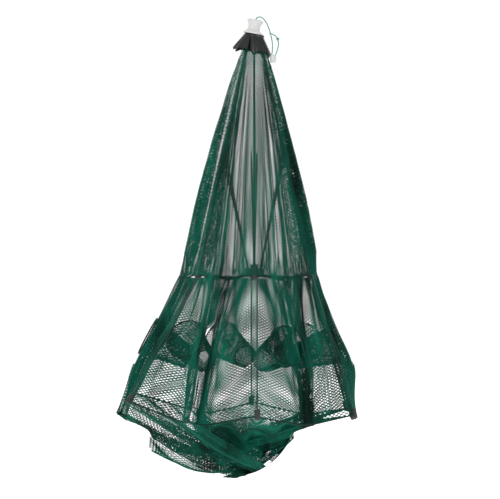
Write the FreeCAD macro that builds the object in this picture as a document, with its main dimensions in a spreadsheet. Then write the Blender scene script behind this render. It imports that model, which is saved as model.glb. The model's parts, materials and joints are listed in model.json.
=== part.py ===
import FreeCAD, Part
import math
import os

# Folding crab trap, hanging folded from its top hub.
# Origin at the waist of the hub, +Z up, millimetres. Six arms stand every 60 degrees, the first at 30.
# One arm is a rib hinged at the crown, a leg hinged at the rib's elbow and a stretcher hinged at the runner.

DIMENSIONS = {
    "hub_lip_radius": 15.0,
    "hub_lip_thickness": 6.0,
    "hub_waist_radius": 11.5,
    "hub_waist_height": 8.0,
    "hub_flare_height": 4.0,
    "hub_skirt_radius": 19.0,
    "hub_skirt_height": 5.0,
    "hub_bore_radius": 5.5,
    "hub_recess_radius": 9.5,
    "hub_recess_depth": 5.0,
    "hub_edge_round": 1.5,
    "hub_tilt": 11.0,
    "disc_radius": 19.0,
    "disc_height": 13.0,
    "disc_bore_radius": 4.5,
    "disc_edge_round": 1.0,
    "neck_radius": 7.0,
    "neck_height": 5.0,
    "slot_width": 5.0,
    "slot_start": 7.8,
    "wire_ring_radius": 12.0,
    "wire_radius": 1.0,
    "wire_clearance": 0.05,
    "crown_pivot_depth": 22.5,
    "runner_pivot_depth": 464.5,
    "boss_radius": 8.0,
    "boss_height": 8.0,
    "rib_radius": 2.0,
    "rib_length": 465.0,
    "rib_rest_angle": 13.8,
    "eye_radius": 3.4,
    "eye_hole_radius": 1.6,
    "eye_width": 3.8,
    "elbow_eye_radius": 5.0,
    "elbow_pin_radius": 1.7,
    "elbow_clearance": 0.3,
    "elbow_head_radius": 3.2,
    "elbow_head_thickness": 1.6,
    "leg_radius": 1.8,
    "leg_length": 270.0,
    "leg_offset": 5.2,
    "left_splay": 33.0,
    "right_splay": 19.0,
    "front_splay": 22.0,
    "cap_radius": 5.5,
    "cap_length": 18.0,
    "cap_depth": 12.0,
    "cap_round": 2.0,
    "cap_clearance": 0.02,
    "stretcher_radius": 1.75,
    "stretcher_length": 230.0,
    "stretcher_rest_angle": 13.5,
    "stretcher_offset": 5.6,
    "stretcher_end_radius": 3.6,
    "stretcher_end_width": 3.0,
    "collar_top_depth": 14.0,
    "collar_bottom_depth": 49.0,
    "collar_top_radius": 23.0,
    "collar_bottom_radius": 32.0,
    "collar_thickness": 1.2,
    "net_thickness": 1.0,
    "net_offset": 4.5,
    "roof_start": 33.0,
    "roof_end": 446.0,
    "roof_gap": 1.5,
    "hem_width": 9.0,
    "hem_half_length": 55.0,
    "hem_start": 449.0,
    "side_start": 14.0,
    "side_end": 250.0,
    "side_top_half": 44.0,
    "side_bottom_half": 52.0,
    "funnel_mouth_radius": 38.0,
    "funnel_throat_radius": 22.0,
    "funnel_length": 90.0,
    "funnel_thickness": 1.0,
    "funnel_depth": 135.0,
    "gore_inset": 31.0,
    "gore_half_width": 53.0,
    "floor_shift": -62.0,
    "floor_rim_radius": 140.0,
    "floor_rim_depth": 772.0,
    "floor_base_radius": 42.0,
    "floor_base_depth": 846.0,
    "floor_thickness": 1.5,
    "cord_diameter": 2.0,
    "bead_radius": 6.0,
    "bead_length": 15.0,
    "bead_round": 3.0,
    "knot_radius": 3.4,
}
ARM_ANGLES = [30.0 + 60.0 * arm for arm in range(6)]
PULL_CORD_ROUTE = [
    (0.0, 0.0, -453.0), (0.3, 0.0, -422.0), (1.1, 0.2, -372.0), (1.9, 0.3, -316.0),
    (2.3, 0.3, -258.0), (2.3, 0.3, -200.0), (1.7, 0.2, -143.0), (0.8, 0.1, -88.0),
    (0.2, 0.0, -42.0), (0.1, -0.1, -10.0), (0.6, -0.3, 7.0), (4.0, -1.4, 18.6),
    (12.8, -4.0, 20.2), (21.0, -7.0, 12.2), (27.0, -11.0, 0.0), (31.0, -15.5, -14.0),
    (34.5, -19.5, -29.0), (34.6, -22.0, -45.0), (32.6, -22.8, -57.0), (33.6, -23.0, -65.0),
    (38.0, -22.8, -64.0), (40.5, -22.4, -54.0), (44.5, -21.5, -43.0), (46.5, -20.5, -31.0),
    (43.5, -19.5, -20.5), (36.0, -18.5, -14.5), (28.5, -18.5, -12.5),
]
BEAD_PLACE = (35.8, -22.8, -61.0)
KNOT_PLACE = (44.6, -19.8, -24.0)
Y_AXIS = FreeCAD.Vector(0, 1, 0)
Z_AXIS = FreeCAD.Vector(0, 0, 1)

document = FreeCAD.newDocument("folding_crab_trap")
sheet = document.addObject("Spreadsheet::Sheet", "Sizes")
for row, (alias, value) in enumerate(DIMENSIONS.items(), start=1):
    sheet.set(f"A{row}", alias)
    sheet.set(f"B{row}", str(value))
    sheet.setAlias(f"B{row}", alias)
document.recompute()
size = {alias: float(sheet.get(alias)) for alias in DIMENSIONS}
kept = {}


def add(kind, name, **sizes):
    """A primitive whose sizes are expressions in the sheet's aliases."""
    item = document.addObject(kind, name)
    for key, expression in sizes.items():
        for alias in sorted(DIMENSIONS, key=len, reverse=True):
            expression = expression.replace(f"<{alias}>", f"Sizes.{alias}")
        item.setExpression(key, expression)
    return item


def place(item, base=(0, 0, 0), axis=(0, 0, 1), towards=None):
    """Puts the item's own Z along an axis, and its own X as near as may be to another direction."""
    up = FreeCAD.Vector(*axis)
    side = FreeCAD.Vector(*(towards or (1, 0, 0)))
    rotation = FreeCAD.Rotation(side, FreeCAD.Vector(), up, "ZXY")
    item.Placement = FreeCAD.Placement(FreeCAD.Vector(*base), rotation)
    return item


def cut(name, base, tools):
    """The base without its tools."""
    if len(tools) > 1:
        tool = document.addObject("Part::MultiFuse", name + "_tools")
        tool.Shapes = tools
    else:
        tool = tools[0]
    result = document.addObject("Part::Cut", name)
    result.Base = base
    result.Tool = tool
    return result


def fuse(name, pieces):
    result = document.addObject("Part::MultiFuse", name)
    result.Shapes = pieces
    result.Refine = False
    return result


def keep(item, node, placement=None):
    """Names a finished sub-part and turns it to its arm."""
    item.Label = node
    if placement is not None:
        item.Placement = placement.multiply(item.Placement)
    kept[node] = item


def turned(angle):
    """The turn about the trap's own axis that brings the X axis to an arm."""
    return FreeCAD.Placement(FreeCAD.Vector(), FreeCAD.Rotation(Z_AXIS, angle))


def down(angle):
    """Unit direction that leans outward from straight down, in an arm's own plane."""
    lean = math.radians(angle)
    return (math.sin(lean), 0.0, -math.cos(lean))


def along(start, direction, distance):
    return tuple(start[i] + direction[i] * distance for i in range(3))


def splay(angle):
    """How far the leg on an arm leans out when folded."""
    if abs(math.cos(math.radians(angle))) < 0.5:
        return size["front_splay"]
    return size["left_splay"] if math.cos(math.radians(angle)) < 0 else size["right_splay"]


def rounded_ends(name, item, radius, lowest, highest):
    """Rounds the circular edges whose centres lie between two heights of the item's own frame."""
    document.recompute()
    picked = []
    for index, edge in enumerate(item.Shape.Edges, start=1):
        box = edge.BoundBox
        if box.ZLength < 1e-6 and lowest <= box.ZMin <= highest and edge.Closed:
            picked.append((index, radius, radius))
    result = document.addObject("Part::Fillet", name)
    result.Base = item
    result.Edges = picked
    return result


def make_top_hub():
    """White spool: lip, waist and skirt on one bore, tilted as it hangs."""
    waist = add("Part::Cylinder", "hub_waist", Radius="<hub_waist_radius>", Height="<hub_waist_height>")
    half = size["hub_waist_height"] / 2
    place(waist, (0, 0, -half))
    upper = add("Part::Cone", "hub_upper_flare", Radius1="<hub_waist_radius>",
                Radius2="<hub_lip_radius>", Height="<hub_flare_height>")
    place(upper, (0, 0, half))
    lip = add("Part::Cylinder", "hub_lip", Radius="<hub_lip_radius>", Height="<hub_lip_thickness>")
    place(lip, (0, 0, half + size["hub_flare_height"]))
    lower = add("Part::Cone", "hub_lower_flare", Radius1="<hub_skirt_radius>",
                Radius2="<hub_waist_radius>", Height="<hub_flare_height>")
    place(lower, (0, 0, -half - size["hub_flare_height"]))
    skirt = add("Part::Cylinder", "hub_skirt", Radius="<hub_skirt_radius>", Height="<hub_skirt_height>")
    bottom = -half - size["hub_flare_height"] - size["hub_skirt_height"]
    place(skirt, (0, 0, bottom))
    body = fuse("hub_blank", [waist, upper, lip, lower, skirt])
    top = half + size["hub_flare_height"] + size["hub_lip_thickness"]
    smooth = rounded_ends("hub_rounded", body, size["hub_edge_round"], top - 0.1, top + 0.1)
    bore = add("Part::Cylinder", "hub_bore", Radius="<hub_bore_radius>",
               Height="<hub_waist_height> + 2 * <hub_flare_height> + <hub_lip_thickness> + 10")
    place(bore, (0, 0, bottom - 1))
    recess = add("Part::Cylinder", "hub_recess", Radius="<hub_recess_radius>", Height="<hub_recess_depth> + 1")
    place(recess, (0, 0, bottom - 1))
    spool = cut("hub_spool", smooth, [bore, recess])
    spool.Placement = FreeCAD.Placement(FreeCAD.Vector(), FreeCAD.Rotation(Y_AXIS, size["hub_tilt"]))
    seat = -size["crown_pivot_depth"] - size["disc_height"] / 2
    disc = add("Part::Cylinder", "hub_seat", Radius="<disc_radius> + 1", Height="<disc_height>")
    neck = add("Part::Cylinder", "hub_neck_seat", Radius="<neck_radius>", Height="<disc_height> + <neck_height>")
    for tool in (disc, neck):
        place(tool, (0, 0, seat))
    keep(cut("top_hub_solid", spool, [disc, neck]), "top_hub")


def make_slotted_disc(name, pivot_depth, with_neck):
    """Disc with six radial slots and a wire ring that the arms' eyes hang on."""
    base = (0, 0, -size[pivot_depth] - size["disc_height"] / 2)
    disc = add("Part::Cylinder", name + "_disc", Radius="<disc_radius>", Height="<disc_height>")
    place(disc, base)
    top = base[2] + size["disc_height"]
    if with_neck:
        collar = add("Part::Cylinder", name + "_neck", Radius="<neck_radius>", Height="<neck_height> + 1")
    else:
        collar = add("Part::Cylinder", name + "_boss", Radius="<boss_radius>", Height="<boss_height> + 1")
    place(collar, (0, 0, top - 1))
    blank = fuse(name + "_blank", [disc, collar])
    bottom = base[2]
    smooth = rounded_ends(name + "_rounded", blank, size["disc_edge_round"], bottom - 0.1, bottom + 0.1)
    tools = []
    for arm, angle in enumerate(ARM_ANGLES):
        slot = add("Part::Box", f"{name}_slot_{arm}", Length="<disc_radius>", Width="<slot_width>",
                   Height="<disc_height> + 2")
        slot.Placement = turned(angle).multiply(FreeCAD.Placement(
            FreeCAD.Vector(size["slot_start"], -size["slot_width"] / 2, bottom - 1), FreeCAD.Rotation()))
        tools.append(slot)
    groove = add("Part::Torus", name + "_groove", Radius1="<wire_ring_radius>",
                 Radius2="<wire_radius> + <wire_clearance>")
    place(groove, (0, 0, -size[pivot_depth]))
    tools.append(groove)
    if with_neck:
        bore = add("Part::Cylinder", name + "_bore", Radius="<disc_bore_radius>",
                   Height="<disc_height> + <neck_height> + 4")
        place(bore, (0, 0, bottom - 2))
        tools.append(bore)
    keep(cut(name + "_solid", smooth, tools), name)
    wire = add("Part::Torus", name + "_wire_ring", Radius1="<wire_ring_radius>", Radius2="<wire_radius>")
    place(wire, (0, 0, -size[pivot_depth]))
    keep(wire, name + "_wire")


def make_collar():
    """Vinyl cover over the crown, a plain thin cone."""
    height = "<collar_bottom_depth> - <collar_top_depth>"
    outer = add("Part::Cone", "collar_outer", Radius1="<collar_bottom_radius> + <collar_thickness>",
                Radius2="<collar_top_radius> + <collar_thickness>", Height=height)
    inner = add("Part::Cone", "collar_inner", Radius1="<collar_bottom_radius>",
                Radius2="<collar_top_radius>", Height=height)
    for cone in (outer, inner):
        place(cone, (0, 0, -size["collar_bottom_depth"]))
    keep(cut("collar_solid", outer, [inner]), "collar")


def make_rib(arm, angle):
    """Steel rod with an eye on the crown's wire and a wider eye at the elbow."""
    pivot = (size["wire_ring_radius"], 0, -size["crown_pivot_depth"])
    lean = down(size["rib_rest_angle"])
    elbow = along(pivot, lean, size["rib_length"])
    half = size["eye_width"] / 2
    rod = add("Part::Cylinder", f"rib_rod_{arm}", Radius="<rib_radius>",
              Height="<rib_length> - <eye_radius> / 2 - <elbow_eye_radius> / 2 - 1")
    place(rod, along(pivot, lean, size["eye_radius"] / 2 + 1), lean)
    upper = add("Part::Cylinder", f"rib_eye_{arm}", Radius="<eye_radius>", Height="<eye_width>")
    place(upper, (pivot[0], -half, pivot[2]), (0, 1, 0))
    lower = add("Part::Cylinder", f"rib_elbow_eye_{arm}", Radius="<elbow_eye_radius>", Height="<eye_width>")
    place(lower, (elbow[0], -half, elbow[2]), (0, 1, 0))
    upper_hole = add("Part::Cylinder", f"rib_hole_{arm}", Radius="<eye_hole_radius>", Height="<eye_width> + 2")
    place(upper_hole, (pivot[0], -half - 1, pivot[2]), (0, 1, 0))
    lower_hole = add("Part::Cylinder", f"rib_elbow_hole_{arm}",
                     Radius="<elbow_pin_radius> + <elbow_clearance>", Height="<eye_width> + 2")
    place(lower_hole, (elbow[0], -half - 1, elbow[2]), (0, 1, 0))
    blank = fuse(f"rib_blank_{arm}", [rod, upper, lower])
    rib = cut(f"rib_solid_{arm}", blank, [upper_hole, lower_hole])
    keep(rib, f"rib_{arm + 1}", turned(angle))
    return elbow


def make_leg(arm, angle, elbow):
    """Leg wire beside the rib, with its top bent into a pin through the rib's lower eye, and a tip cap."""
    lean = down(splay(angle))
    offset = size["leg_offset"]
    head = size["elbow_head_thickness"]
    gap = size["eye_width"] / 2 + 0.5
    rod = add("Part::Cylinder", f"leg_rod_{arm}", Radius="<leg_radius>", Height="<leg_length>")
    place(rod, (elbow[0], offset, elbow[2]), lean)
    bend = add("Part::Sphere", f"leg_bend_{arm}", Radius="<leg_radius>")
    place(bend, (elbow[0], offset, elbow[2]))
    pin = add("Part::Cylinder", f"leg_pin_{arm}", Radius="<elbow_pin_radius>",
              Height="<leg_offset> + <eye_width> / 2 + 1")
    place(pin, (elbow[0], -gap - 0.5, elbow[2]), (0, 1, 0))
    button = add("Part::Cylinder", f"leg_head_{arm}", Radius="<elbow_head_radius>", Height="<elbow_head_thickness>")
    place(button, (elbow[0], -gap - head, elbow[2]), (0, 1, 0))
    keep(fuse(f"leg_solid_{arm}", [rod, bend, pin, button]), f"leg_{arm + 1}", turned(angle))

    start = along((elbow[0], offset, elbow[2]), lean, size["leg_length"] - size["cap_depth"])
    shell = add("Part::Cylinder", f"cap_shell_{arm}", Radius="<cap_radius>", Height="<cap_length>")
    smooth = rounded_ends(f"cap_rounded_{arm}", shell, size["cap_round"], -0.1, size["cap_length"] + 0.1)
    socket = add("Part::Cylinder", f"cap_socket_{arm}", Radius="<leg_radius> + <cap_clearance>",
                 Height="<cap_depth> + 1")
    place(socket, (0, 0, -1))
    cap = cut(f"cap_solid_{arm}", smooth, [socket])
    place(cap, start, lean)
    keep(cap, f"leg_cap_{arm + 1}", turned(angle))


def make_stretcher(arm, angle):
    """Brace from the runner's wire to the rib, slanting a little sideways so that it passes beside it."""
    pivot = (size["wire_ring_radius"], 0, -size["runner_pivot_depth"])
    lean = math.radians(size["stretcher_rest_angle"])
    slant = math.asin(size["stretcher_offset"] / size["stretcher_length"])
    direction = (math.sin(lean) * math.cos(slant), -math.sin(slant), math.cos(lean) * math.cos(slant))
    end = along(pivot, direction, size["stretcher_length"])
    half = size["eye_width"] / 2
    rod = add("Part::Cylinder", f"stretcher_rod_{arm}", Radius="<stretcher_radius>",
              Height="<stretcher_length> - <eye_radius> / 2 - 1")
    place(rod, along(pivot, direction, size["eye_radius"] / 2 + 1), direction)
    eye = add("Part::Cylinder", f"stretcher_eye_{arm}", Radius="<eye_radius>", Height="<eye_width>")
    place(eye, (pivot[0], -half, pivot[2]), (0, 1, 0))
    hole = add("Part::Cylinder", f"stretcher_hole_{arm}", Radius="<eye_hole_radius>", Height="<eye_width> + 2")
    place(hole, (pivot[0], -half - 1, pivot[2]), (0, 1, 0))
    tab = add("Part::Cylinder", f"stretcher_tab_{arm}", Radius="<stretcher_end_radius>",
              Height="<stretcher_end_width>")
    place(tab, (end[0], end[1] - size["stretcher_end_width"] / 2, end[2]), (0, 1, 0))
    blank = fuse(f"stretcher_blank_{arm}", [rod, eye, tab])
    keep(cut(f"stretcher_solid_{arm}", blank, [hole]), f"stretcher_{arm + 1}", turned(angle))


def panel(name, start, lean, first, last, first_half, last_half):
    """Thin tapered plate of netting outside a rod, as long as last - first, each half width as given."""
    plate = add("Part::Wedge", name, Ymin="0", Ymax=f"{last} - {first}", Xmin=f"-({first_half})",
                Xmax=first_half, X2min=f"-({last_half})", X2max=last_half,
                Zmin="-<net_offset> - <net_thickness>", Zmax="-<net_offset>",
                Z2min="-<net_offset> - <net_thickness>", Z2max="-<net_offset>")
    inward = FreeCAD.Vector(lean[2], 0, -lean[0])
    rotation = FreeCAD.Rotation(Y_AXIS, FreeCAD.Vector(*lean), inward, "XYZ")
    first_size = size[first.strip("<>")]
    plate.Placement = FreeCAD.Placement(FreeCAD.Vector(*along(start, lean, first_size)), rotation)
    return plate


def make_netting(arm, angle, elbow):
    """The arm's share of the net: roof panel, hem tape, side panel and entrance funnel."""
    crown = (size["wire_ring_radius"], 0, -size["crown_pivot_depth"])
    rib_lean = down(size["rib_rest_angle"])
    wedge = math.tan(math.radians(180 / len(ARM_ANGLES)))
    slope = math.sin(math.radians(size["rib_rest_angle"]))
    halves = []
    for end in ("roof_start", "roof_end"):
        halves.append(f"(<wire_ring_radius> + <{end}> * {slope}) * {wedge} - <roof_gap>")
    roof = panel(f"roof_solid_{arm}", crown, rib_lean, "<roof_start>", "<roof_end>", *halves)
    keep(roof, f"roof_panel_{arm + 1}", turned(angle))

    hem = add("Part::Box", f"hem_solid_{arm}", Length="2 * <hem_half_length>", Width="<hem_width>",
              Height="<net_thickness>")
    inward = FreeCAD.Vector(rib_lean[2], 0, -rib_lean[0])
    corner = FreeCAD.Vector(*along(crown, rib_lean, size["hem_start"]))
    corner -= Y_AXIS * size["hem_half_length"]
    corner -= inward * (size["net_offset"] + size["net_thickness"])
    hem.Placement = FreeCAD.Placement(
        corner, FreeCAD.Rotation(Y_AXIS, FreeCAD.Vector(*rib_lean), inward, "XYZ"))
    keep(hem, f"hem_tape_{arm + 1}", turned(angle))

    leg_lean = down(splay(angle))
    side = panel(f"side_solid_{arm}", elbow, leg_lean, "<side_start>", "<side_end>",
                 "<side_top_half>", "<side_bottom_half>")
    keep(side, f"side_panel_{arm + 1}", turned(angle))

    lean = math.radians(splay(angle))
    middle = along(elbow, leg_lean, size["funnel_depth"])
    mouth = (middle[0] - size["gore_inset"], size["gore_half_width"], middle[2])
    turn = math.radians(180 / len(ARM_ANGLES))
    axis = (-math.cos(turn) * math.cos(lean), -math.sin(turn), -math.cos(turn) * math.sin(lean))
    outer = add("Part::Cone", f"funnel_outer_{arm}", Radius1="<funnel_mouth_radius>",
                Radius2="<funnel_throat_radius>", Height="<funnel_length>")
    inner = add("Part::Cone", f"funnel_inner_{arm}", Radius1="<funnel_mouth_radius> - <funnel_thickness>",
                Radius2="<funnel_throat_radius> - <funnel_thickness>", Height="<funnel_length>")
    for cone in (outer, inner):
        place(cone, mouth, axis)
    keep(cut(f"funnel_solid_{arm}", outer, [inner]), f"entrance_funnel_{arm + 1}", turned(angle))


def make_floor_net():
    """Bag bottom, a shallow bowl that hangs a little to one side."""
    height = "<floor_base_depth> - <floor_rim_depth>"
    outer = add("Part::Cone", "floor_outer", Radius1="<floor_base_radius>",
                Radius2="<floor_rim_radius>", Height=height)
    inner = add("Part::Cone", "floor_inner", Radius1="<floor_base_radius> - <floor_thickness>",
                Radius2="<floor_rim_radius> - <floor_thickness>", Height=height)
    place(outer, (size["floor_shift"], 0, -size["floor_base_depth"]))
    place(inner, (size["floor_shift"], 0, size["floor_thickness"] - size["floor_base_depth"]))
    keep(cut("floor_solid", outer, [inner]), "floor_net")


def cord_path(points):
    """Straight runs joined by tangent arcs, and the radius of each arc."""
    route = [FreeCAD.Vector(*point) for point in points]
    edges = []
    radii = []
    last = route[0]
    for before, corner, after in zip(route, route[1:], route[2:]):
        back = (before - corner).normalize()
        ahead = (after - corner).normalize()
        turn = math.pi - back.getAngle(ahead)
        reach = 0.45 * min((before - corner).Length, (after - corner).Length)
        radius = reach / math.tan(turn / 2)
        start = corner + back * reach
        finish = corner + ahead * reach
        bisector = (back + ahead).normalize()
        middle = corner + bisector * (radius / math.cos(turn / 2) - radius)
        edges.append(Part.LineSegment(last, start).toShape())
        edges.append(Part.Arc(start, middle, finish).toShape())
        radii.append(radius)
        last = finish
    edges.append(Part.LineSegment(last, route[-1]).toShape())
    return Part.Wire(edges), radii


def make_pull_cord():
    """Lifting cord: up from the runner through the hub, over its lip, into the bead and back to a knot."""
    path, radii = cord_path(PULL_CORD_ROUTE)
    radius = size["cord_diameter"] / 2
    first = FreeCAD.Vector(*PULL_CORD_ROUTE[0])
    heading = FreeCAD.Vector(*PULL_CORD_ROUTE[1]) - first
    ring = Part.Wire([Part.makeCircle(radius, first, heading)])
    tube = path.makePipeShell([ring], True, False)
    cord = document.addObject("Part::Feature", "pull_cord_solid")
    cord.Shape = tube
    expected = math.pi * radius ** 2 * path.Length
    print("cord length", round(path.Length, 1), "volume share", round(tube.Volume / expected, 4))
    print("arc radii", [round(value, 1) for value in radii])
    keep(cord, "pull_cord")

    body = add("Part::Cylinder", "bead_body", Radius="<bead_radius>", Height="<bead_length>")
    bead = rounded_ends("bead_solid", body, size["bead_round"], -0.1, size["bead_length"] + 0.1)
    place(bead, (BEAD_PLACE[0], BEAD_PLACE[1], BEAD_PLACE[2] - size["bead_length"] / 2))
    keep(bead, "bead")
    knot = add("Part::Sphere", "knot_body", Radius="<knot_radius>")
    place(knot, KNOT_PLACE)
    keep(knot, "cord_knot")


def export():
    """Checks every object, then writes one file for each sub-part."""
    document.recompute()
    for item in document.Objects:
        if "Invalid" in item.State or "Error" in item.State:
            raise RuntimeError(f"{item.Name} failed: {item.State}")
    os.makedirs("parts", exist_ok=True)
    for node, item in kept.items():
        shape = item.Shape
        if shape.isNull() or not shape.isValid() or shape.Volume <= 0:
            raise RuntimeError(f"{node} has no valid solid")
        shape.exportStep(f"parts/{node}.step")
    print(len(kept), "sub-parts written")


make_top_hub()
make_slotted_disc("crown", "crown_pivot_depth", True)
make_slotted_disc("runner", "runner_pivot_depth", False)
make_collar()
for arm_index, arm_angle in enumerate(ARM_ANGLES):
    elbow_place = make_rib(arm_index, arm_angle)
    make_leg(arm_index, arm_angle, elbow_place)
    make_stretcher(arm_index, arm_angle)
    make_netting(arm_index, arm_angle, elbow_place)
make_floor_net()
make_pull_cord()
export()
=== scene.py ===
import json
import math
import random

import bpy
import numpy as np
from mathutils import Matrix, Vector


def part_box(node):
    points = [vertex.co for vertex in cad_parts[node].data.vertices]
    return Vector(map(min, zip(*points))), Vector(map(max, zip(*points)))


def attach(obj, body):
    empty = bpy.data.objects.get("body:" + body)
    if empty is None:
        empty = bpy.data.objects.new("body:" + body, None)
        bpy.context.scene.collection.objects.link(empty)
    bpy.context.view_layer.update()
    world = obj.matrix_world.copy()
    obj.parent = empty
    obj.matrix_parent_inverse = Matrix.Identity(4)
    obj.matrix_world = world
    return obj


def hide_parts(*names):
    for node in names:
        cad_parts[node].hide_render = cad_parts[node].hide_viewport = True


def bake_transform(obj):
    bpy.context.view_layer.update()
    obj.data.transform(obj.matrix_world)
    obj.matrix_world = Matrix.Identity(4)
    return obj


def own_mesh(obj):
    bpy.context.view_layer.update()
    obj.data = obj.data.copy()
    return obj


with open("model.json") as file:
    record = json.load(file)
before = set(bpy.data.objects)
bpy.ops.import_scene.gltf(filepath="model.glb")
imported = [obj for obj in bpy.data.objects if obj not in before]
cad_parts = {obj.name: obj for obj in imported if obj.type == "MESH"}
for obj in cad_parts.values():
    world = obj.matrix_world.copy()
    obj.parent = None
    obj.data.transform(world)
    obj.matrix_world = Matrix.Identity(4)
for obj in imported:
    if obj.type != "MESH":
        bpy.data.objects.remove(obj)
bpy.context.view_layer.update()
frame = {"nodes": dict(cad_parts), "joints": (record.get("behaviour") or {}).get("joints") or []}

# Folding crab trap, in metres. Each net panel is designed open, then folded back to rest
# by the turn of its arm and the travel of the body that spreads its side. Pleats, laps and the
# floor's bag are added to the folded shape, so the open net is rippled, and its floor has gaps
# where the bag draws in.

ARMS = range(1, 7)
GORE_TURN = math.radians(30)
FUNNEL_DROP = 0.135
FUNNEL_RADIUS = 0.038
FUNNEL_THROAT = 0.022
FUNNEL_LENGTH = 0.090
FUNNEL_AROUND = 52
FUNNEL_RIMS = (("mouth", 0.0, FUNNEL_RADIUS, 0.0013), ("throat", 1.0, FUNNEL_THROAT, 0.0011))
RIM_STEPS = 48

# half of a diamond, down and across the open panel, and the side of each twine's prism
MESH = 0.0029
SPREAD_MESH = 0.0054
TWINE = 0.00115
WALL_TWINE = 0.00140
BAG_TWINE = 0.00090
HEM_RADIUS = 0.0019
FOOT_RADIUS = 0.0015
EDGE_STEPS = 60

# how far the folded net laps, stands off the rods and is pleated
FOOT_LAP = 0.010
ROOF_LAP = 0.004
LARGEST_LAP = 0.040
OVER_ROD = 0.0032
ROOF_START = 0.014
PLEAT_DEPTH = 0.014
WALL_PLEAT_DEPTH = 0.017
FLOOR_PLEAT_DEPTH = 0.018
ROOF_PLEATS = 3.2
WALL_PLEATS = 1.6
FLOOR_PLEATS = 2.0
RIGHT_BELLY = 0.022
LEFT_BELLY = 0.008

# the floor's inner edge and rise when open, and the round bag that it hangs in when folded
FLOOR_INNER = 0.30
FLOOR_LIFT = 0.045
BAG_MIDDLE = (-0.062, 0.0)
BAG_RADIUS = 0.142
BAG_TOP = -0.730
BAG_DEPTH = 0.124
BAG_SLACK = 0.35  # below 1, the bag draws in less from front to back than from side to side

BISECTIONS = 40
joints = {j["name"]: j for j in frame["joints"]}


# ---------------------------------------------------------------- materials

def material(name, color, roughness, **sockets):
    """A principled material and its node tree; the numbers go on the shader's own sockets."""
    made = bpy.data.materials.new(name)
    made.use_nodes = True
    shader = made.node_tree.nodes["Principled BSDF"]
    shader.inputs["Base Color"].default_value = (*color, 1)
    shader.inputs["Roughness"].default_value = roughness
    for socket, value in sockets.items():
        shader.inputs[socket.replace("_", " ")].default_value = value
    return made, made.node_tree.nodes, made.node_tree.links, shader


def varied(nodes, links, shader, low, high, scale, detail=4.0, stretch=(1, 1, 1)):
    """Colour that wanders between two tones in object space."""
    place = nodes.new("ShaderNodeTexCoord")
    mapping = nodes.new("ShaderNodeMapping")
    mapping.inputs["Scale"].default_value = stretch
    noise = nodes.new("ShaderNodeTexNoise")
    noise.inputs["Scale"].default_value = scale
    noise.inputs["Detail"].default_value = detail
    ramp = nodes.new("ShaderNodeValToRGB")
    ramp.color_ramp.elements[0].position = 0.32
    ramp.color_ramp.elements[1].position = 0.68
    ramp.color_ramp.elements[0].color = (*low, 1)
    ramp.color_ramp.elements[1].color = (*high, 1)
    links.new(place.outputs["Object"], mapping.inputs["Vector"])
    links.new(mapping.outputs["Vector"], noise.inputs["Vector"])
    links.new(noise.outputs["Fac"], ramp.inputs["Fac"])
    links.new(ramp.outputs["Color"], shader.inputs["Base Color"])
    return mapping


def bumped(nodes, links, shader, mapping, scale, strength, distance, kind="ShaderNodeTexNoise"):
    """Fine relief from a noise or wave texture."""
    texture = nodes.new(kind)
    texture.inputs["Scale"].default_value = scale
    if kind == "ShaderNodeTexNoise":
        texture.inputs["Detail"].default_value = 6.0
    bump = nodes.new("ShaderNodeBump")
    bump.inputs["Strength"].default_value = strength
    bump.inputs["Distance"].default_value = distance
    links.new(mapping.outputs["Vector"], texture.inputs["Vector"])
    links.new(texture.outputs["Fac"], bump.inputs["Height"])
    links.new(bump.outputs["Normal"], shader.inputs["Normal"])


def finish_material(name, low, high, roughness, scale, bump_scale, strength, distance,
                    kind="ShaderNodeTexNoise", stretch=(1, 1, 1), **sockets):
    made, nodes, links, shader = material(name, low, roughness, **sockets)
    mapping = varied(nodes, links, shader, low, high, scale, stretch=stretch)
    bumped(nodes, links, shader, mapping, bump_scale, strength, distance, kind)
    return made


# Green twine whose tone runs by noise from near-black, painted shade standing for deep stacked
# layers, to mint green, painted light standing for single lit layers; the noise places both at
# random.
GREEN_TWINE_PAINTED_SHADE_AND_LIGHT = finish_material("green_twine_painted_shade_and_light", (0.0005, 0.012, 0.008), (0.0050, 0.165, 0.108), 0.60,
                              5.0, 900.0, 0.4, 0.0003, stretch=(5, 5, 0.9), Specular_IOR_Level=0.10)
TWINE_DARK = finish_material("twine_dark", (0.001, 0.012, 0.009), (0.003, 0.040, 0.026), 0.60,
                             30.0, 900.0, 0.5, 0.0004, Specular_IOR_Level=0.15)
BINDING = finish_material("hem_binding", (0.004, 0.018, 0.014), (0.010, 0.040, 0.030), 0.70,
                          60.0, 700.0, 0.6, 0.0005, kind="ShaderNodeTexWave",
                          Specular_IOR_Level=0.2)
VINYL = finish_material("black_vinyl", (0.001, 0.0015, 0.0015), (0.005, 0.006, 0.006), 0.30,
                        40.0, 110.0, 0.45, 0.0016, Specular_IOR_Level=0.30, Coat_Weight=0.10,
                        Coat_Roughness=0.15)
HUB_WHITE = finish_material("hub_white", (0.46, 0.46, 0.45), (0.52, 0.52, 0.51), 0.40,
                            25.0, 500.0, 0.10, 0.0002, Coat_Weight=0.2)
BEAD_WHITE = finish_material("bead_white", (0.42, 0.45, 0.44), (0.50, 0.53, 0.52), 0.36,
                             60.0, 700.0, 0.08, 0.0002, Coat_Weight=0.3)
STEEL = finish_material("drawn_steel", (0.045, 0.055, 0.052), (0.085, 0.095, 0.092), 0.50,
                        30.0, 600.0, 0.10, 0.0002, stretch=(4, 4, 0.4), Metallic=1.0)
BLACK_PLASTIC = finish_material("black_plastic", (0.010, 0.011, 0.012), (0.025, 0.026, 0.028), 0.45,
                                40.0, 800.0, 0.15, 0.0003)
RUBBER = finish_material("tip_rubber", (0.008, 0.010, 0.010), (0.022, 0.026, 0.026), 0.75,
                         50.0, 900.0, 0.35, 0.0004)
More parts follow.
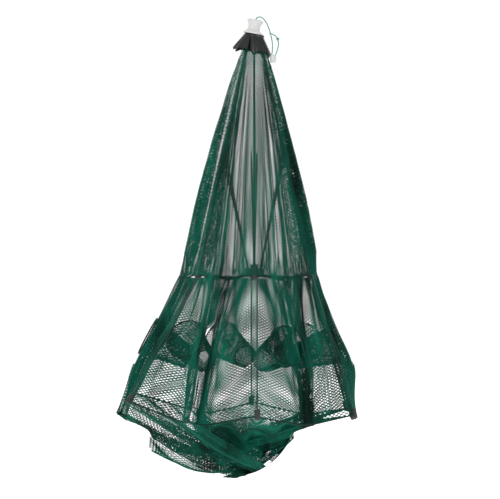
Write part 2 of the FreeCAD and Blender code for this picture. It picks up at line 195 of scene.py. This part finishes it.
CORD_GREEN = finish_material("cord_green", (0.010, 0.190, 0.120), (0.030, 0.330, 0.220), 0.60,
                             120.0, 1500.0, 0.6, 0.0004, kind="ShaderNodeTexWave", Sheen_Weight=0.3)


# ---------------------------------------------------------------- mesh helpers

def new_mesh(name, verts, faces, look, smooth=True):
    mesh = bpy.data.meshes.new(name)
    mesh.from_pydata([tuple(map(float, v)) for v in verts], [],
                     [tuple(map(int, f)) for f in faces])
    if smooth:
        mesh.polygons.foreach_set("use_smooth", [True] * len(mesh.polygons))
    mesh.materials.append(look)
    mesh.update()
    made = bpy.data.objects.new(name, mesh)
    bpy.context.scene.collection.objects.link(made)
    return made


def quads_mesh(name, verts, quads, look):
    """A mesh from arrays, for the many small faces of a net."""
    mesh = bpy.data.meshes.new(name)
    mesh.vertices.add(len(verts))
    mesh.vertices.foreach_set("co", np.ascontiguousarray(verts, np.float32).ravel())
    mesh.loops.add(quads.size)
    mesh.loops.foreach_set("vertex_index", quads.ravel().astype(np.int32))
    mesh.polygons.add(len(quads))
    mesh.polygons.foreach_set("loop_start", (np.arange(len(quads)) * 4).astype(np.int32))
    mesh.polygons.foreach_set("loop_total", np.full(len(quads), 4, np.int32))
    mesh.materials.append(look)
    mesh.update(calc_edges=True)
    mesh.validate()
    made = bpy.data.objects.new(name, mesh)
    bpy.context.scene.collection.objects.link(made)
    return made


def normalised(rows):
    return rows / np.maximum(np.linalg.norm(rows, axis=1, keepdims=True), 1e-9)


def twine_mesh(name, points, bars, look, side=TWINE):
    """Every bar of a net as an open three-sided prism of twine."""
    a, b = points[bars[:, 0]], points[bars[:, 1]]
    along = normalised(b - a)
    up = np.where(np.abs(along[:, 2:3]) > 0.9, [[1.0, 0, 0]], [[0, 0, 1.0]])
    first = normalised(np.cross(along, up))
    second = np.cross(along, first)
    reach = side / math.sqrt(3)
    ring = []
    for turn in range(3):
        angle = 2 * math.pi * turn / 3
        ring.append((first * math.cos(angle) + second * math.sin(angle)) * reach)
    verts = np.stack([a + r for r in ring] + [b + r for r in ring], axis=1).reshape(-1, 3)
    base = (np.arange(len(bars)) * 6)[:, None]
    quads = np.concatenate([base + [[i, (i + 1) % 3, (i + 1) % 3 + 3, i + 3]] for i in range(3)])
    return quads_mesh(name, verts, quads, look)


def tube_mesh(name, path, radius, look, sides=8, closed=False):
    """A round tube along points; the radius may change along it."""
    path = np.asarray(path, float)
    count = len(path)
    radii = np.broadcast_to(radius, (count,))
    if closed:
        tangent = normalised(np.roll(path, -1, 0) - np.roll(path, 1, 0))
    else:
        tangent = normalised(np.gradient(path, axis=0))
    normal = np.cross(tangent[0], [0, 0, 1.0] if abs(tangent[0][2]) < 0.9 else [1.0, 0, 0])
    verts = []
    for i in range(count):
        normal = normal - tangent[i] * normal.dot(tangent[i])
        normal /= np.linalg.norm(normal)
        other = np.cross(tangent[i], normal)
        for s in range(sides):
            angle = 2 * math.pi * s / sides
            verts.append(path[i] + (normal * math.cos(angle) + other * math.sin(angle)) * radii[i])
    faces = []
    for i in range(count if closed else count - 1):
        k = (i + 1) % count
        for s in range(sides):
            n = (s + 1) % sides
            faces.append((i * sides + s, i * sides + n, k * sides + n, k * sides + s))
    if not closed:
        faces.append(tuple(range(sides))[::-1])
        faces.append(tuple((count - 1) * sides + s for s in range(sides)))
    return new_mesh(name, verts, faces, look)


def lathe(name, profile, look, steps=48):
    """A closed profile of (radius, height) turned about Z."""
    verts = []
    for i in range(steps):
        angle = 2 * math.pi * i / steps
        for radius, height in profile:
            verts.append((radius * math.cos(angle), radius * math.sin(angle), height))
    count = len(profile)
    faces = []
    for i in range(steps):
        k = (i + 1) % steps
        for j in range(count):
            n = (j + 1) % count
            faces.append((i * count + j, k * count + j, k * count + n, i * count + n))
    return new_mesh(name, verts, faces, look)


# ---------------------------------------------------------------- the arms' geometry

def turn_about(axis, angle):
    return np.array(Matrix.Rotation(angle, 3, Vector(axis)))


def smoothstep(t):
    t = np.clip(t, 0, 1)
    return t * t * (3 - 2 * t)


class Arm:
    """Places and turns of one arm, at rest and open, all read from the frame's joints."""

    def __init__(self, number):
        self.number = number
        hinge = joints[f"rib_hinge_{number}"]
        elbow = joints[f"elbow_{number}"]
        self.pivot = np.array(hinge["pos_m"], float)
        self.axis = np.array(hinge["axis"], float)
        self.out = normalised(np.array([[self.pivot[0], self.pivot[1], 0]]))[0]
        self.tangent = -self.axis
        self.elbow = np.array(elbow["pos_m"], float)
        self.rib_turn = math.radians(hinge["range_deg"][1])
        self.leg_turn = self.rib_turn + math.radians(elbow["range_deg"][0])
        swung = turn_about(self.axis, self.rib_turn)
        self.elbow_open = self.pivot + swung @ (self.elbow - self.pivot)
        self.rib_length = np.linalg.norm(self.elbow - self.pivot)
        low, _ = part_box(f"leg_{number}")
        self.leg_length = (self.elbow[2] - low[2]) / math.cos(self.leg_turn)
        self.leg_way = turn_about(self.axis, -self.leg_turn) @ np.array([0, 0, -1.0])

    def side(self, name):
        sign = 1 if name == "left" else -1
        return sign, self.tangent * sign

    def shift(self, kind, name):
        """The whole travel of the body that spreads this side's net."""
        slide = joints[f"{kind}_{name}_spread_{self.number}"]
        return np.array(slide["axis"], float) * slide["range_m"][1]

    def middle_open(self, name, radius):
        """Point of the gore's middle line, open, level with a point of the arm at this radius."""
        sign, _ = self.side(name)
        turn = Matrix.Rotation(sign * GORE_TURN, 3, "Z")
        return np.array(turn @ Vector(self.out)) * radius * math.cos(GORE_TURN)

    def folded(self, points, kind, shift, gradient):
        """Rest places of points of the open net."""
        back = turn_about(self.axis, -(self.rib_turn if kind == "roof" else self.leg_turn))
        base = self.elbow + (points - self.elbow_open) @ back.T
        low = np.zeros(len(points))
        high = np.ones(len(points))
        for _ in range(BISECTIONS):
            share = (low + high) / 2
            reached = smoothstep((base - share[:, None] * shift - self.elbow) @ gradient)
            above = share > reached
            high = np.where(above, share, high)
            low = np.where(above, low, share)
        share = (low + high) / 2
        return base - share[:, None] * shift


def inverse_smoothstep(value):
    low, high = 0.0, 1.0
    for _ in range(BISECTIONS):
        middle = (low + high) / 2
        if middle * middle * (3 - 2 * middle) < value:
            low = middle
        else:
            high = middle
    return (low + high) / 2


def roof_gradient(arm, side):
    """Blend direction of the roof: straight sideways from the rib to the gore's middle."""
    _, sideways = arm.side(side)
    middle = arm.middle_open(side, np.linalg.norm(arm.elbow_open[:2]))
    middle[2] = arm.elbow_open[2]
    back = turn_about(arm.axis, -arm.rib_turn)
    rest = back @ (middle - arm.elbow_open) - arm.shift("roof", side)
    return sideways / rest.dot(sideways)


def wall_gradient(arm, side):
    """Blend direction of the wall and floor. The share at the foot brings the gore's middle line
    to the gore's own plane and a little past it, so that neighbouring halves lap."""
    sign, sideways = arm.side(side)
    radius = np.linalg.norm(arm.elbow_open[:2])
    middle = arm.middle_open(side, radius)
    middle[2] = arm.elbow_open[2]
    back = turn_about(arm.axis, -arm.leg_turn)
    shift = arm.shift("side", side)
    opened = back @ (middle - arm.elbow_open)
    top = (opened - shift).dot(sideways)
    across = np.cross([0, 0, 1.0], middle / np.linalg.norm(middle)) * sign
    across /= np.linalg.norm(across)
    foot = arm.elbow + opened + arm.leg_way * arm.leg_length
    share = float(np.clip((foot.dot(across) - FOOT_LAP) / shift.dot(across), 0.40, 0.97))
    low_rest = opened + arm.leg_way * arm.leg_length - share * shift
    along = (inverse_smoothstep(share) - low_rest.dot(sideways) / top) / low_rest.dot(arm.leg_way)
    return sideways / top + arm.leg_way * along


def lattice(rows, step, widths, spread=SPREAD_MESH):
    """Nodes and bars of a diamond net between a gore's middle line and an arm.
    Each node is (distance down the panel, distance from the middle line)."""
    index = {}
    nodes = []
    for j in range(rows):
        width = widths[j]
        for i in range(j % 2, int(width / spread) + 2, 2):
            across = i * spread
            if across > width + spread * 0.99:
                continue
            index[(i, j)] = len(nodes)
            nodes.append((j * step, min(across, width)))
    bars = []
    for (i, j), node in index.items():
        for neighbour in ((i + 1, j + 1), (i - 1, j + 1)):
            if neighbour in index:
                bars.append((node, index[neighbour]))
    return np.array(nodes, float), np.array(bars, int)


def pleats(share, height, seed, count):
    """Uneven pleats across a half gore, none at its two edges."""
    random.seed(seed)
    wave = np.zeros_like(share)
    for order, weight in ((count, 0.55), (count * 1.63, 0.30), (count * 2.71, 0.15)):
        phase = random.uniform(0, 2 * math.pi)
        lean = random.uniform(-0.6, 0.6)
        wave += weight * np.sin(2 * math.pi * order * share + phase + lean * height)
    edge = np.clip(np.minimum(share, 1 - share) * 6, 0, 1)
    return wave * edge * edge * (3 - 2 * edge)


def lapped(rest, u, height, arm, side, lap):
    """Brings a half gore's middle rows just past the gore's own plane where they'd leave a gap."""
    sign, _ = arm.side(side)
    across = normalised(np.cross([0, 0, 1.0], arm.middle_open(side, 1.0))[None, :])[0] * sign
    inner = np.where(u < 0.02)[0]
    inner = inner[np.argsort(height[inner])]
    short = np.clip(np.broadcast_to(lap, u.shape)[inner] - rest[inner] @ across, 0, LARGEST_LAP)
    return rest + across * (np.interp(height, height[inner], short) * (1 - u) ** 2)[:, None]


# ---------------------------------------------------------------- net panels

def roof_half(arm, side):
    """Half gore of roof net, from the rib to the gore's middle line, with long pleats."""
    start = ROOF_START
    length = arm.rib_length
    rows = int((length - start) / MESH) + 1
    ups = start + np.arange(rows) * MESH
    way = (arm.elbow_open - arm.pivot) / length
    radii = np.linalg.norm((arm.pivot + way * ups[:, None])[:, :2], axis=1)
    widths = radii * math.sin(GORE_TURN)
    nodes, bars = lattice(rows, MESH, widths)
    s = start + nodes[:, 0]
    rib_points = arm.pivot + way * s[:, None]
    reach = np.linalg.norm(rib_points[:, :2], axis=1)
    width = reach * math.sin(GORE_TURN)
    middle = arm.middle_open(side, 1.0) * reach[:, None]
    middle[:, 2] = rib_points[:, 2]
    u = np.clip(nodes[:, 1] / width, 0, 1)
    opened = middle + (rib_points - middle) * u[:, None]
    gradient = roof_gradient(arm, side)
    shift = arm.shift("roof", side)
    rest = arm.folded(opened, "roof", shift, gradient)
    height = s / length
    outward = normalised(arm.out * u[:, None] + arm.middle_open(side, 1.0) * (1 - u)[:, None])
    seed = arm.number * 2 + (side == "left")
    depth = PLEAT_DEPTH * np.clip(height * 1.5, 0.25, 1)
    swell = np.clip(4 * height * (1 - height), 0, 1)
    push = pleats(1 - u, height * 3, seed, ROOF_PLEATS) * depth * np.clip((1 - height) * 9, 0, 1)
    push += OVER_ROD + swell * (0.0010 + 0.007 * np.sin(math.pi * (1 - u) / 2))
    rest += outward * push[:, None]
    rest = lapped(rest, u, height, arm, side, ROOF_LAP * height)
    piece = twine_mesh(f"roof_net_{arm.number}_{side}", rest, bars, GREEN_TWINE_PAINTED_SHADE_AND_LIGHT)
    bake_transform(piece)
    return piece


def wall_half(arm, side):
    """Half gore of wall net below the hem, with the half hole of an entrance in it."""
    rows = int(arm.leg_length / MESH) + 1
    radius = np.linalg.norm(arm.elbow_open[:2])
    width = radius * math.sin(GORE_TURN)
    nodes, bars = lattice(rows, MESH, np.full(rows, width))
    hole = np.hypot(nodes[:, 1], nodes[:, 0] - FUNNEL_DROP) < FUNNEL_RADIUS
    bars = bars[~(hole[bars[:, 0]] | hole[bars[:, 1]])]
    middle = arm.middle_open(side, radius)
    middle[2] = arm.elbow_open[2]
    u = np.clip(nodes[:, 1] / width, 0, 1)[:, None]
    opened = middle + (arm.elbow_open - middle) * u
    opened = opened + np.array([0, 0, -1.0]) * nodes[:, :1]
    gradient = wall_gradient(arm, side)
    rest = arm.folded(opened, "side", arm.shift("side", side), gradient)
    height = nodes[:, 0] / arm.leg_length
    seed = 40 + arm.number * 2 + (side == "left")
    aside = 1 - u[:, 0]
    outward = normalised(arm.out * u + arm.middle_open(side, 1.0) * (1 - u))
    belly = np.exp(-((height - 0.62) / 0.2) ** 2)
    swollen = (RIGHT_BELLY if arm.out[0] > 0 else LEFT_BELLY) * abs(arm.out[0]) ** 2
    depth = WALL_PLEAT_DEPTH * np.sin(math.pi * np.clip(height, 0, 1)) ** 0.5
    push = pleats(aside, height * 4, seed, WALL_PLEATS) * depth
    push += OVER_ROD + belly * (0.004 + swollen * (0.4 + 0.6 * aside))
    rest += outward * push[:, None]
    rest = lapped(rest, u[:, 0], height, arm, side, FOOT_LAP)
    piece = twine_mesh(f"wall_net_{arm.number}_{side}", rest, bars, GREEN_TWINE_PAINTED_SHADE_AND_LIGHT, WALL_TWINE)
    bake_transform(piece)
    return piece


def bagged(rest):
    """Draws the floor's loose ends in to the round of the bag that hangs below the legs' tips."""
    depth = np.clip((BAG_TOP - rest[:, 2]) / BAG_DEPTH, 0, 1)
    room = BAG_RADIUS * np.sqrt(1 - depth ** 2) + 0.110 * np.clip(1 - depth * 3.2, 0, 1) ** 2
    offset = rest[:, :2] - BAG_MIDDLE
    reach = np.maximum(np.linalg.norm(offset * (1, BAG_SLACK), axis=1), 1e-6)
    drawn = rest.copy()
    drawn[:, :2] = BAG_MIDDLE + offset * np.minimum(1, np.maximum(room, 0.004) / reach)[:, None]
    drawn[:, 2] = np.maximum(rest[:, 2], BAG_TOP - BAG_DEPTH)
    below = (rest[:, 2] < BAG_TOP)[:, None]
    return np.where(below, drawn, rest)


def floor_half(arm, side):
    """Half gore of floor net, from the wall's foot towards the middle."""
    radius = np.linalg.norm(arm.elbow_open[:2])
    apothem = radius * math.cos(GORE_TURN)
    length = apothem * (1 - FLOOR_INNER)
    rows = int(length / MESH) + 1
    share = 1 - np.arange(rows) * MESH / apothem
    widths = share * radius * math.sin(GORE_TURN)
    nodes, bars = lattice(rows, MESH, widths)
    scale = 1 - nodes[:, :1] / apothem
    middle = arm.middle_open(side, radius)
    rim = middle + (np.array([*arm.elbow_open[:2], 0]) - middle) * (
        nodes[:, 1:] / (scale * radius * math.sin(GORE_TURN))).clip(0, 1)
    opened = rim * scale
    inner = (1 - scale[:, 0]) / (1 - FLOOR_INNER)
    opened[:, 2] = arm.elbow_open[2] - arm.leg_length + FLOOR_LIFT * inner ** 2
    gradient = wall_gradient(arm, side)
    rest = arm.folded(opened, "side", arm.shift("side", side), gradient)
    seed = 80 + arm.number * 2 + (side == "left")
    across = np.clip(nodes[:, 1] / (scale[:, 0] * radius * math.sin(GORE_TURN)), 0, 1)
    depth = FLOOR_PLEAT_DEPTH * np.sin(math.pi * np.clip(inner, 0, 1)) ** 0.5
    rest += arm.leg_way * (pleats(1 - across, inner * 4, seed, FLOOR_PLEATS) * depth)[:, None]
    rest = lapped(rest, across, inner, arm, side, FOOT_LAP)
    rest = bagged(rest)
    piece = twine_mesh(f"floor_net_{arm.number}_{side}", rest, bars, GREEN_TWINE_PAINTED_SHADE_AND_LIGHT)
    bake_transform(piece)
    return piece


def edge_cord(arm, side, kind, drop, radius, look, name):
    """Binding cord along the hem or the foot of a half gore."""
    reach = np.linalg.norm(arm.elbow_open[:2])
    middle = arm.middle_open(side, reach)
    middle[2] = arm.elbow_open[2]
    share = np.linspace(0, 1, EDGE_STEPS)[:, None]
    opened = middle + (arm.elbow_open - middle) * share + np.array([0, 0, -drop])
    if kind == "roof":
        gradient = roof_gradient(arm, side)
    else:
        gradient = wall_gradient(arm, side)
    rest = arm.folded(opened, kind, arm.shift(kind, side), gradient)
    piece = tube_mesh(f"{name}_{arm.number}_{side}", rest, radius, look)
    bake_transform(piece)
    return piece


def funnel(arm):
    """Entrance funnel of one gore: a cone of net that points inward when the trap is open."""
    radius = np.linalg.norm(arm.elbow_open[:2])
    mouth = arm.middle_open("left", radius)
    inward = -mouth / np.linalg.norm(mouth)
    mouth[2] = arm.elbow_open[2] - FUNNEL_DROP
    sideways = np.cross(inward, [0, 0, 1.0])
    rows = int(FUNNEL_LENGTH / MESH) + 1
    around = FUNNEL_AROUND
    points = []
    for j in range(rows):
        share = j / (rows - 1)
        reach = FUNNEL_RADIUS + (FUNNEL_THROAT - FUNNEL_RADIUS) * share ** 0.8
        for i in range(around):
            angle = 2 * math.pi * (i + 0.5 * (j % 2)) / around
            ring = sideways * math.cos(angle) + np.array([0, 0, 1.0]) * math.sin(angle)
            points.append(mouth + inward * share * FUNNEL_LENGTH + ring * reach)
    bars = []
    for j in range(rows - 1):
        for i in range(around):
            for step in (0, 1) if j % 2 else (-1, 0):
                bars.append((j * around + i, (j + 1) * around + (i + step) % around))
    back = turn_about(arm.axis, -arm.leg_turn)
    shift = arm.shift("side", "left")

    def rested(rows_of_points):
        return arm.elbow + (np.asarray(rows_of_points) - arm.elbow_open) @ back.T - shift

    points = rested(points)
    bars = np.array(bars, int)
    piece = twine_mesh(f"funnel_net_{arm.number}", points, bars, GREEN_TWINE_PAINTED_SHADE_AND_LIGHT)
    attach(piece, f"side_left_{arm.number}")
    for label, share, reach, thick in FUNNEL_RIMS:
        ring = []
        for i in range(RIM_STEPS):
            angle = 2 * math.pi * i / RIM_STEPS
            spoke = sideways * math.cos(angle) + np.array([0, 0, 1.0]) * math.sin(angle)
            ring.append(mouth + inward * share * FUNNEL_LENGTH + spoke * reach)
        rim = tube_mesh(f"funnel_{label}_{arm.number}", rested(ring), thick, TWINE_DARK,
                        closed=True)
        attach(rim, f"side_left_{arm.number}")
    return piece


def floor_bag():
    """Middle of the floor: a round of net that hangs as a shallow bag."""
    low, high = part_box("floor_net")
    centre = np.array([(low[0] + high[0]) / 2, (low[1] + high[1]) / 2, low[2]])
    radius = (high[0] - low[0]) / 2
    columns = int(2 * radius / SPREAD_MESH)
    rows = int(2 * radius / MESH)
    index = {}
    points = []
    for j in range(rows + 1):
        for i in range(j % 2, columns + 1, 2):
            x = (i - columns / 2) * SPREAD_MESH
            y = (j - rows / 2) * MESH
            reach = math.hypot(x, y) / radius
            if reach > 1:
                continue
            angle = math.atan2(y, x)
            fall = 1 - reach ** 2.4 * (0.92 + 0.25 * math.sin(3 * angle + 0.7) * reach)
            ripple = 0.006 * math.sin(7 * angle + 5 * reach) * reach
            index[(i, j)] = len(points)
            height = (high[2] - low[2]) * (1 - fall) + ripple
            points.append((centre[0] + x, centre[1] + y * 0.9, centre[2] + max(height, 0.0006)))
    bars = []
    for (i, j), node in index.items():
        for neighbour in ((i + 1, j + 1), (i - 1, j + 1)):
            if neighbour in index:
                bars.append((node, index[neighbour]))
    piece = twine_mesh("floor_bag", np.array(points), np.array(bars, int), GREEN_TWINE_PAINTED_SHADE_AND_LIGHT, BAG_TWINE)
    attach(piece, "floor_center")
    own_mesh(piece)
    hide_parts("floor_net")
    return piece


# ---------------------------------------------------------------- top of the trap

COLLAR_REACH = {1: 0.034, 2: 0.032, 3: 0.040, 4: 0.0465, 5: 0.033, 6: 0.0365}
COLLAR_EDGE = -0.0455
COLLAR_BROW = -0.0130
COLLAR_NECK = 0.0172
COLLAR_SLOPE = 0.19
COLLAR_HALF_TURN = math.radians(38)
COLLAR_THICKNESS = 0.0012
HUB_TILT = math.radians(11.0)


def collar_sector(arm):
    """One sixth of the creased vinyl cover, lapped over its neighbours."""
    angle0 = math.atan2(arm.out[1], arm.out[0])
    half = COLLAR_HALF_TURN
    random.seed(300 + arm.number)
    folds = [random.uniform(-1, 1) for _ in range(9)]
    rows, columns = 18, 20
    verts = []
    for skin in (0.0, COLLAR_THICKNESS):
        for j in range(rows + 1):
            v = j / rows
            for i in range(columns + 1):
                u = i / columns * 2 - 1
                angle = angle0 + u * half
                crease = 1 - abs(u)
                foot = COLLAR_REACH[arm.number] * (0.74 + 0.26 * crease ** 1.2)
                reach = COLLAR_NECK + (foot - COLLAR_NECK) * v
                reach += 0.0014 * v * folds[int((u + 1) * 4)]
                edge = COLLAR_EDGE - COLLAR_SLOPE * foot * math.cos(angle)
                brow = COLLAR_BROW - COLLAR_SLOPE * COLLAR_NECK * math.cos(angle)
                z = brow + (edge - brow) * v - 0.0055 * v ** 6 * math.exp(-(u / 0.22) ** 2)
                reach -= skin
                verts.append((reach * math.cos(angle), reach * math.sin(angle), z))
    stride = columns + 1
    sheet = (rows + 1) * stride
    faces = []
    for j in range(rows):
        for i in range(columns):
            a = j * stride + i
            faces.append((a, a + 1, a + stride + 1, a + stride))
            faces.append((sheet + a, sheet + a + stride, sheet + a + stride + 1, sheet + a + 1))
    for i in range(columns):
        a = rows * stride + i
        faces.append((a, a + 1, sheet + a + 1, sheet + a))
        faces.append((i + 1, i, sheet + i, sheet + i + 1))
    for j in range(rows):
        for i in (0, columns):
            a = j * stride + i
            quad = (a, a + stride, sheet + a + stride, sheet + a)
            faces.append(quad if i == 0 else quad[::-1])
    piece = new_mesh(f"collar_sector_{arm.number}", verts, faces, VINYL, smooth=False)
    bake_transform(piece)
    return piece


def hub():
    """White spool with rounded lip and flared skirt, tilted as the CAD hub is."""
    profile = [
        (0.0058, 0.0145), (0.0105, 0.0150), (0.0136, 0.0146), (0.0149, 0.0134), (0.0152, 0.0118),
        (0.0150, 0.0098), (0.0142, 0.0080), (0.0128, 0.0062), (0.0118, 0.0040), (0.0115, 0.0010),
        (0.0116, -0.0020), (0.0124, -0.0046), (0.0142, -0.0068), (0.0166, -0.0084),
        (0.0186, -0.0097), (0.0192, -0.0112), (0.0190, -0.0128), (0.0180, -0.0130),
        (0.0096, -0.0130), (0.0095, -0.0082), (0.0058, -0.0080),
    ]
    piece = lathe("spool_hub", profile, HUB_WHITE, 64)
    piece.data.transform(Matrix.Rotation(HUB_TILT, 4, "Y"))
    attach(piece, "frame")
    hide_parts("top_hub")
    return piece


PULL_CORD_ROUTE = [
    (0.0, 0.0, -453.0), (0.3, 0.0, -422.0), (1.1, 0.2, -372.0), (1.9, 0.3, -316.0),
    (2.3, 0.3, -258.0), (2.3, 0.3, -200.0), (1.7, 0.2, -143.0), (0.8, 0.1, -88.0),
    (0.2, 0.0, -42.0), (0.1, -0.1, -10.0), (0.6, -0.3, 7.0), (4.0, -1.4, 18.6),
    (12.8, -4.0, 20.2), (21.0, -7.0, 12.2), (27.0, -11.0, 0.0), (31.0, -15.5, -14.0),
    (34.5, -19.5, -29.0), (34.6, -22.0, -45.0), (32.6, -22.8, -57.0), (33.6, -23.0, -65.0),
    (38.0, -22.8, -64.0), (40.5, -22.4, -54.0), (44.5, -21.5, -43.0), (46.5, -20.5, -31.0),
    (43.5, -19.5, -20.5), (36.0, -18.5, -14.5), (28.5, -18.5, -12.5),
]
CORD_DIAMETER = 0.002


def nurbs(name, route, diameter, look):
    curve = bpy.data.curves.new(name, "CURVE")
    curve.dimensions = "3D"
    curve.bevel_depth = diameter / 2
    curve.bevel_resolution = 4
    curve.resolution_u = 8
    curve.use_fill_caps = True
    spline = curve.splines.new("NURBS")
    spline.points.add(len(route) - 1)
    for point, place in zip(spline.points, route):
        point.co = (place[0] / 1000, place[1] / 1000, place[2] / 1000, 1)
    spline.order_u = 3
    spline.use_endpoint_u = True
    curve.materials.append(look)
    made = bpy.data.objects.new(name, curve)
    bpy.context.scene.collection.objects.link(made)
    return made


def pull_cord():
    cord = nurbs("lifting_cord", PULL_CORD_ROUTE, CORD_DIAMETER, CORD_GREEN)
    low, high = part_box("bead")
    middle = [(a + b) / 2 for a, b in zip(low, high)]
    half = (high[2] - low[2]) / 2
    radius = (high[0] - low[0]) / 2
    profile = []
    for step in range(15):
        angle = math.pi * (step / 14 - 0.5)
        girth = 0.0034 + (radius - 0.0034) * math.cos(angle) ** 0.6
        profile.append((girth, half * math.sin(angle) * 0.98))
    profile += [(0.0030, half * 0.90), (0.0028, 0.0), (0.0030, -half * 0.90)]
    bead = lathe("cord_bead", profile, BEAD_WHITE, 40)
    bead.data.transform(Matrix.Translation(middle))
    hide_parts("bead")
    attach(bead, "runner")
    low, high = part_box("cord_knot")
    middle = np.array([(a + b) / 2 for a, b in zip(low, high)])
    turns = np.linspace(0, 2 * math.pi, 90, endpoint=False)
    loop = np.stack([np.sin(turns) + 2 * np.sin(2 * turns), np.sin(3 * turns) * 1.1,
                     np.cos(turns) - 2 * np.cos(2 * turns)], axis=1) * 0.00075
    knot = tube_mesh("overhand_knot", middle + loop, CORD_DIAMETER * 0.48, CORD_GREEN, closed=True)
    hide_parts("cord_knot")
    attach(knot, "runner")
    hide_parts("pull_cord")
    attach(cord, "runner")


# ---------------------------------------------------------------- stage

LIGHTS = (  # name, place, watts, width
    ("key", (-1.6, -2.4, 1.2), 26, 1.6),
    ("fill", (2.2, -1.6, 0.2), 6, 2.0),
    ("rim", (0.6, 2.4, 1.2), 8, 1.5),
)
CAMERA_DISTANCE = 5.0
CAMERA_VIEW = 0.950
SENSOR_WIDTH = 36.0
STAGE_SIZE = 12.0
STAGE_DEPTH = -1.25


def stage():
    camera_data = bpy.data.cameras.new("camera")
    camera_data.sensor_width = SENSOR_WIDTH
    camera = bpy.data.objects.new("camera", camera_data)
    camera_data.lens = SENSOR_WIDTH * CAMERA_DISTANCE / CAMERA_VIEW
    camera.location = (-0.008, -CAMERA_DISTANCE, -0.422)
    camera.rotation_euler = (math.radians(90), 0, 0)
    bpy.context.scene.collection.objects.link(camera)
    bpy.context.scene.camera = camera
    world = bpy.data.worlds.new("studio")
    world.use_nodes = True
    world.node_tree.nodes["Background"].inputs["Color"].default_value = (1, 1, 1, 1)
    world.node_tree.nodes["Background"].inputs["Strength"].default_value = 1.05
    bpy.context.scene.world = world
    bpy.context.scene.view_settings.view_transform = "Standard"
    floor_look, _, _, shader = material("floor_pale", (0.96, 0.96, 0.96), 0.9)
    shader.inputs["Emission Color"].default_value = (1, 1, 1, 1)
    shader.inputs["Emission Strength"].default_value = 0.35
    corners = [(x * STAGE_SIZE, y * STAGE_SIZE, STAGE_DEPTH)
               for x, y in ((-1, -1), (1, -1), (1, 1), (-1, 1))]
    floor = new_mesh("floor", corners, [(0, 1, 2, 3)], floor_look)
    for name, place, energy, extent in LIGHTS:
        data = bpy.data.lights.new(name, "AREA")
        data.energy = energy
        data.size = extent
        light = bpy.data.objects.new(name, data)
        light.location = place
        aim = Vector((0, 0, -0.4)) - Vector(place)
        light.rotation_euler = aim.to_track_quat("-Z", "Y").to_euler()
        bpy.context.scene.collection.objects.link(light)


def carried_over():
    """Materials of the CAD nodes that stay in view."""
    looks = {"rib": STEEL, "leg": STEEL, "stretcher": STEEL, "leg_cap": RUBBER,
             "crown": BLACK_PLASTIC, "runner": BLACK_PLASTIC,
             "crown_wire": STEEL, "runner_wire": STEEL}
    for name, node in frame["nodes"].items():
        kind = name.rsplit("_", 1)[0] if name[-1].isdigit() else name
        if kind in looks:
            node.data.materials.clear()
            node.data.materials.append(looks[kind])


stage()
pull_cord()
hub()
arms = [Arm(number) for number in ARMS]
for arm in arms:
    sector = collar_sector(arm)
    if arm.number == 1:
        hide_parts("collar")
    for side in ("left", "right"):
        roof = roof_half(arm, side)
        wall = wall_half(arm, side)
        floor_half(arm, side)
        hem = edge_cord(arm, side, "roof", 0.0, HEM_RADIUS, BINDING, "hem_cord")
        edge_cord(arm, side, "side", arm.leg_length, FOOT_RADIUS, BINDING, "foot_cord")
        if side == "left":
            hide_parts(f"roof_panel_{arm.number}")
            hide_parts(f"hem_tape_{arm.number}")
            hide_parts(f"side_panel_{arm.number}")
    cone = funnel(arm)
    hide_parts(f"entrance_funnel_{arm.number}")
floor_bag()
carried_over()
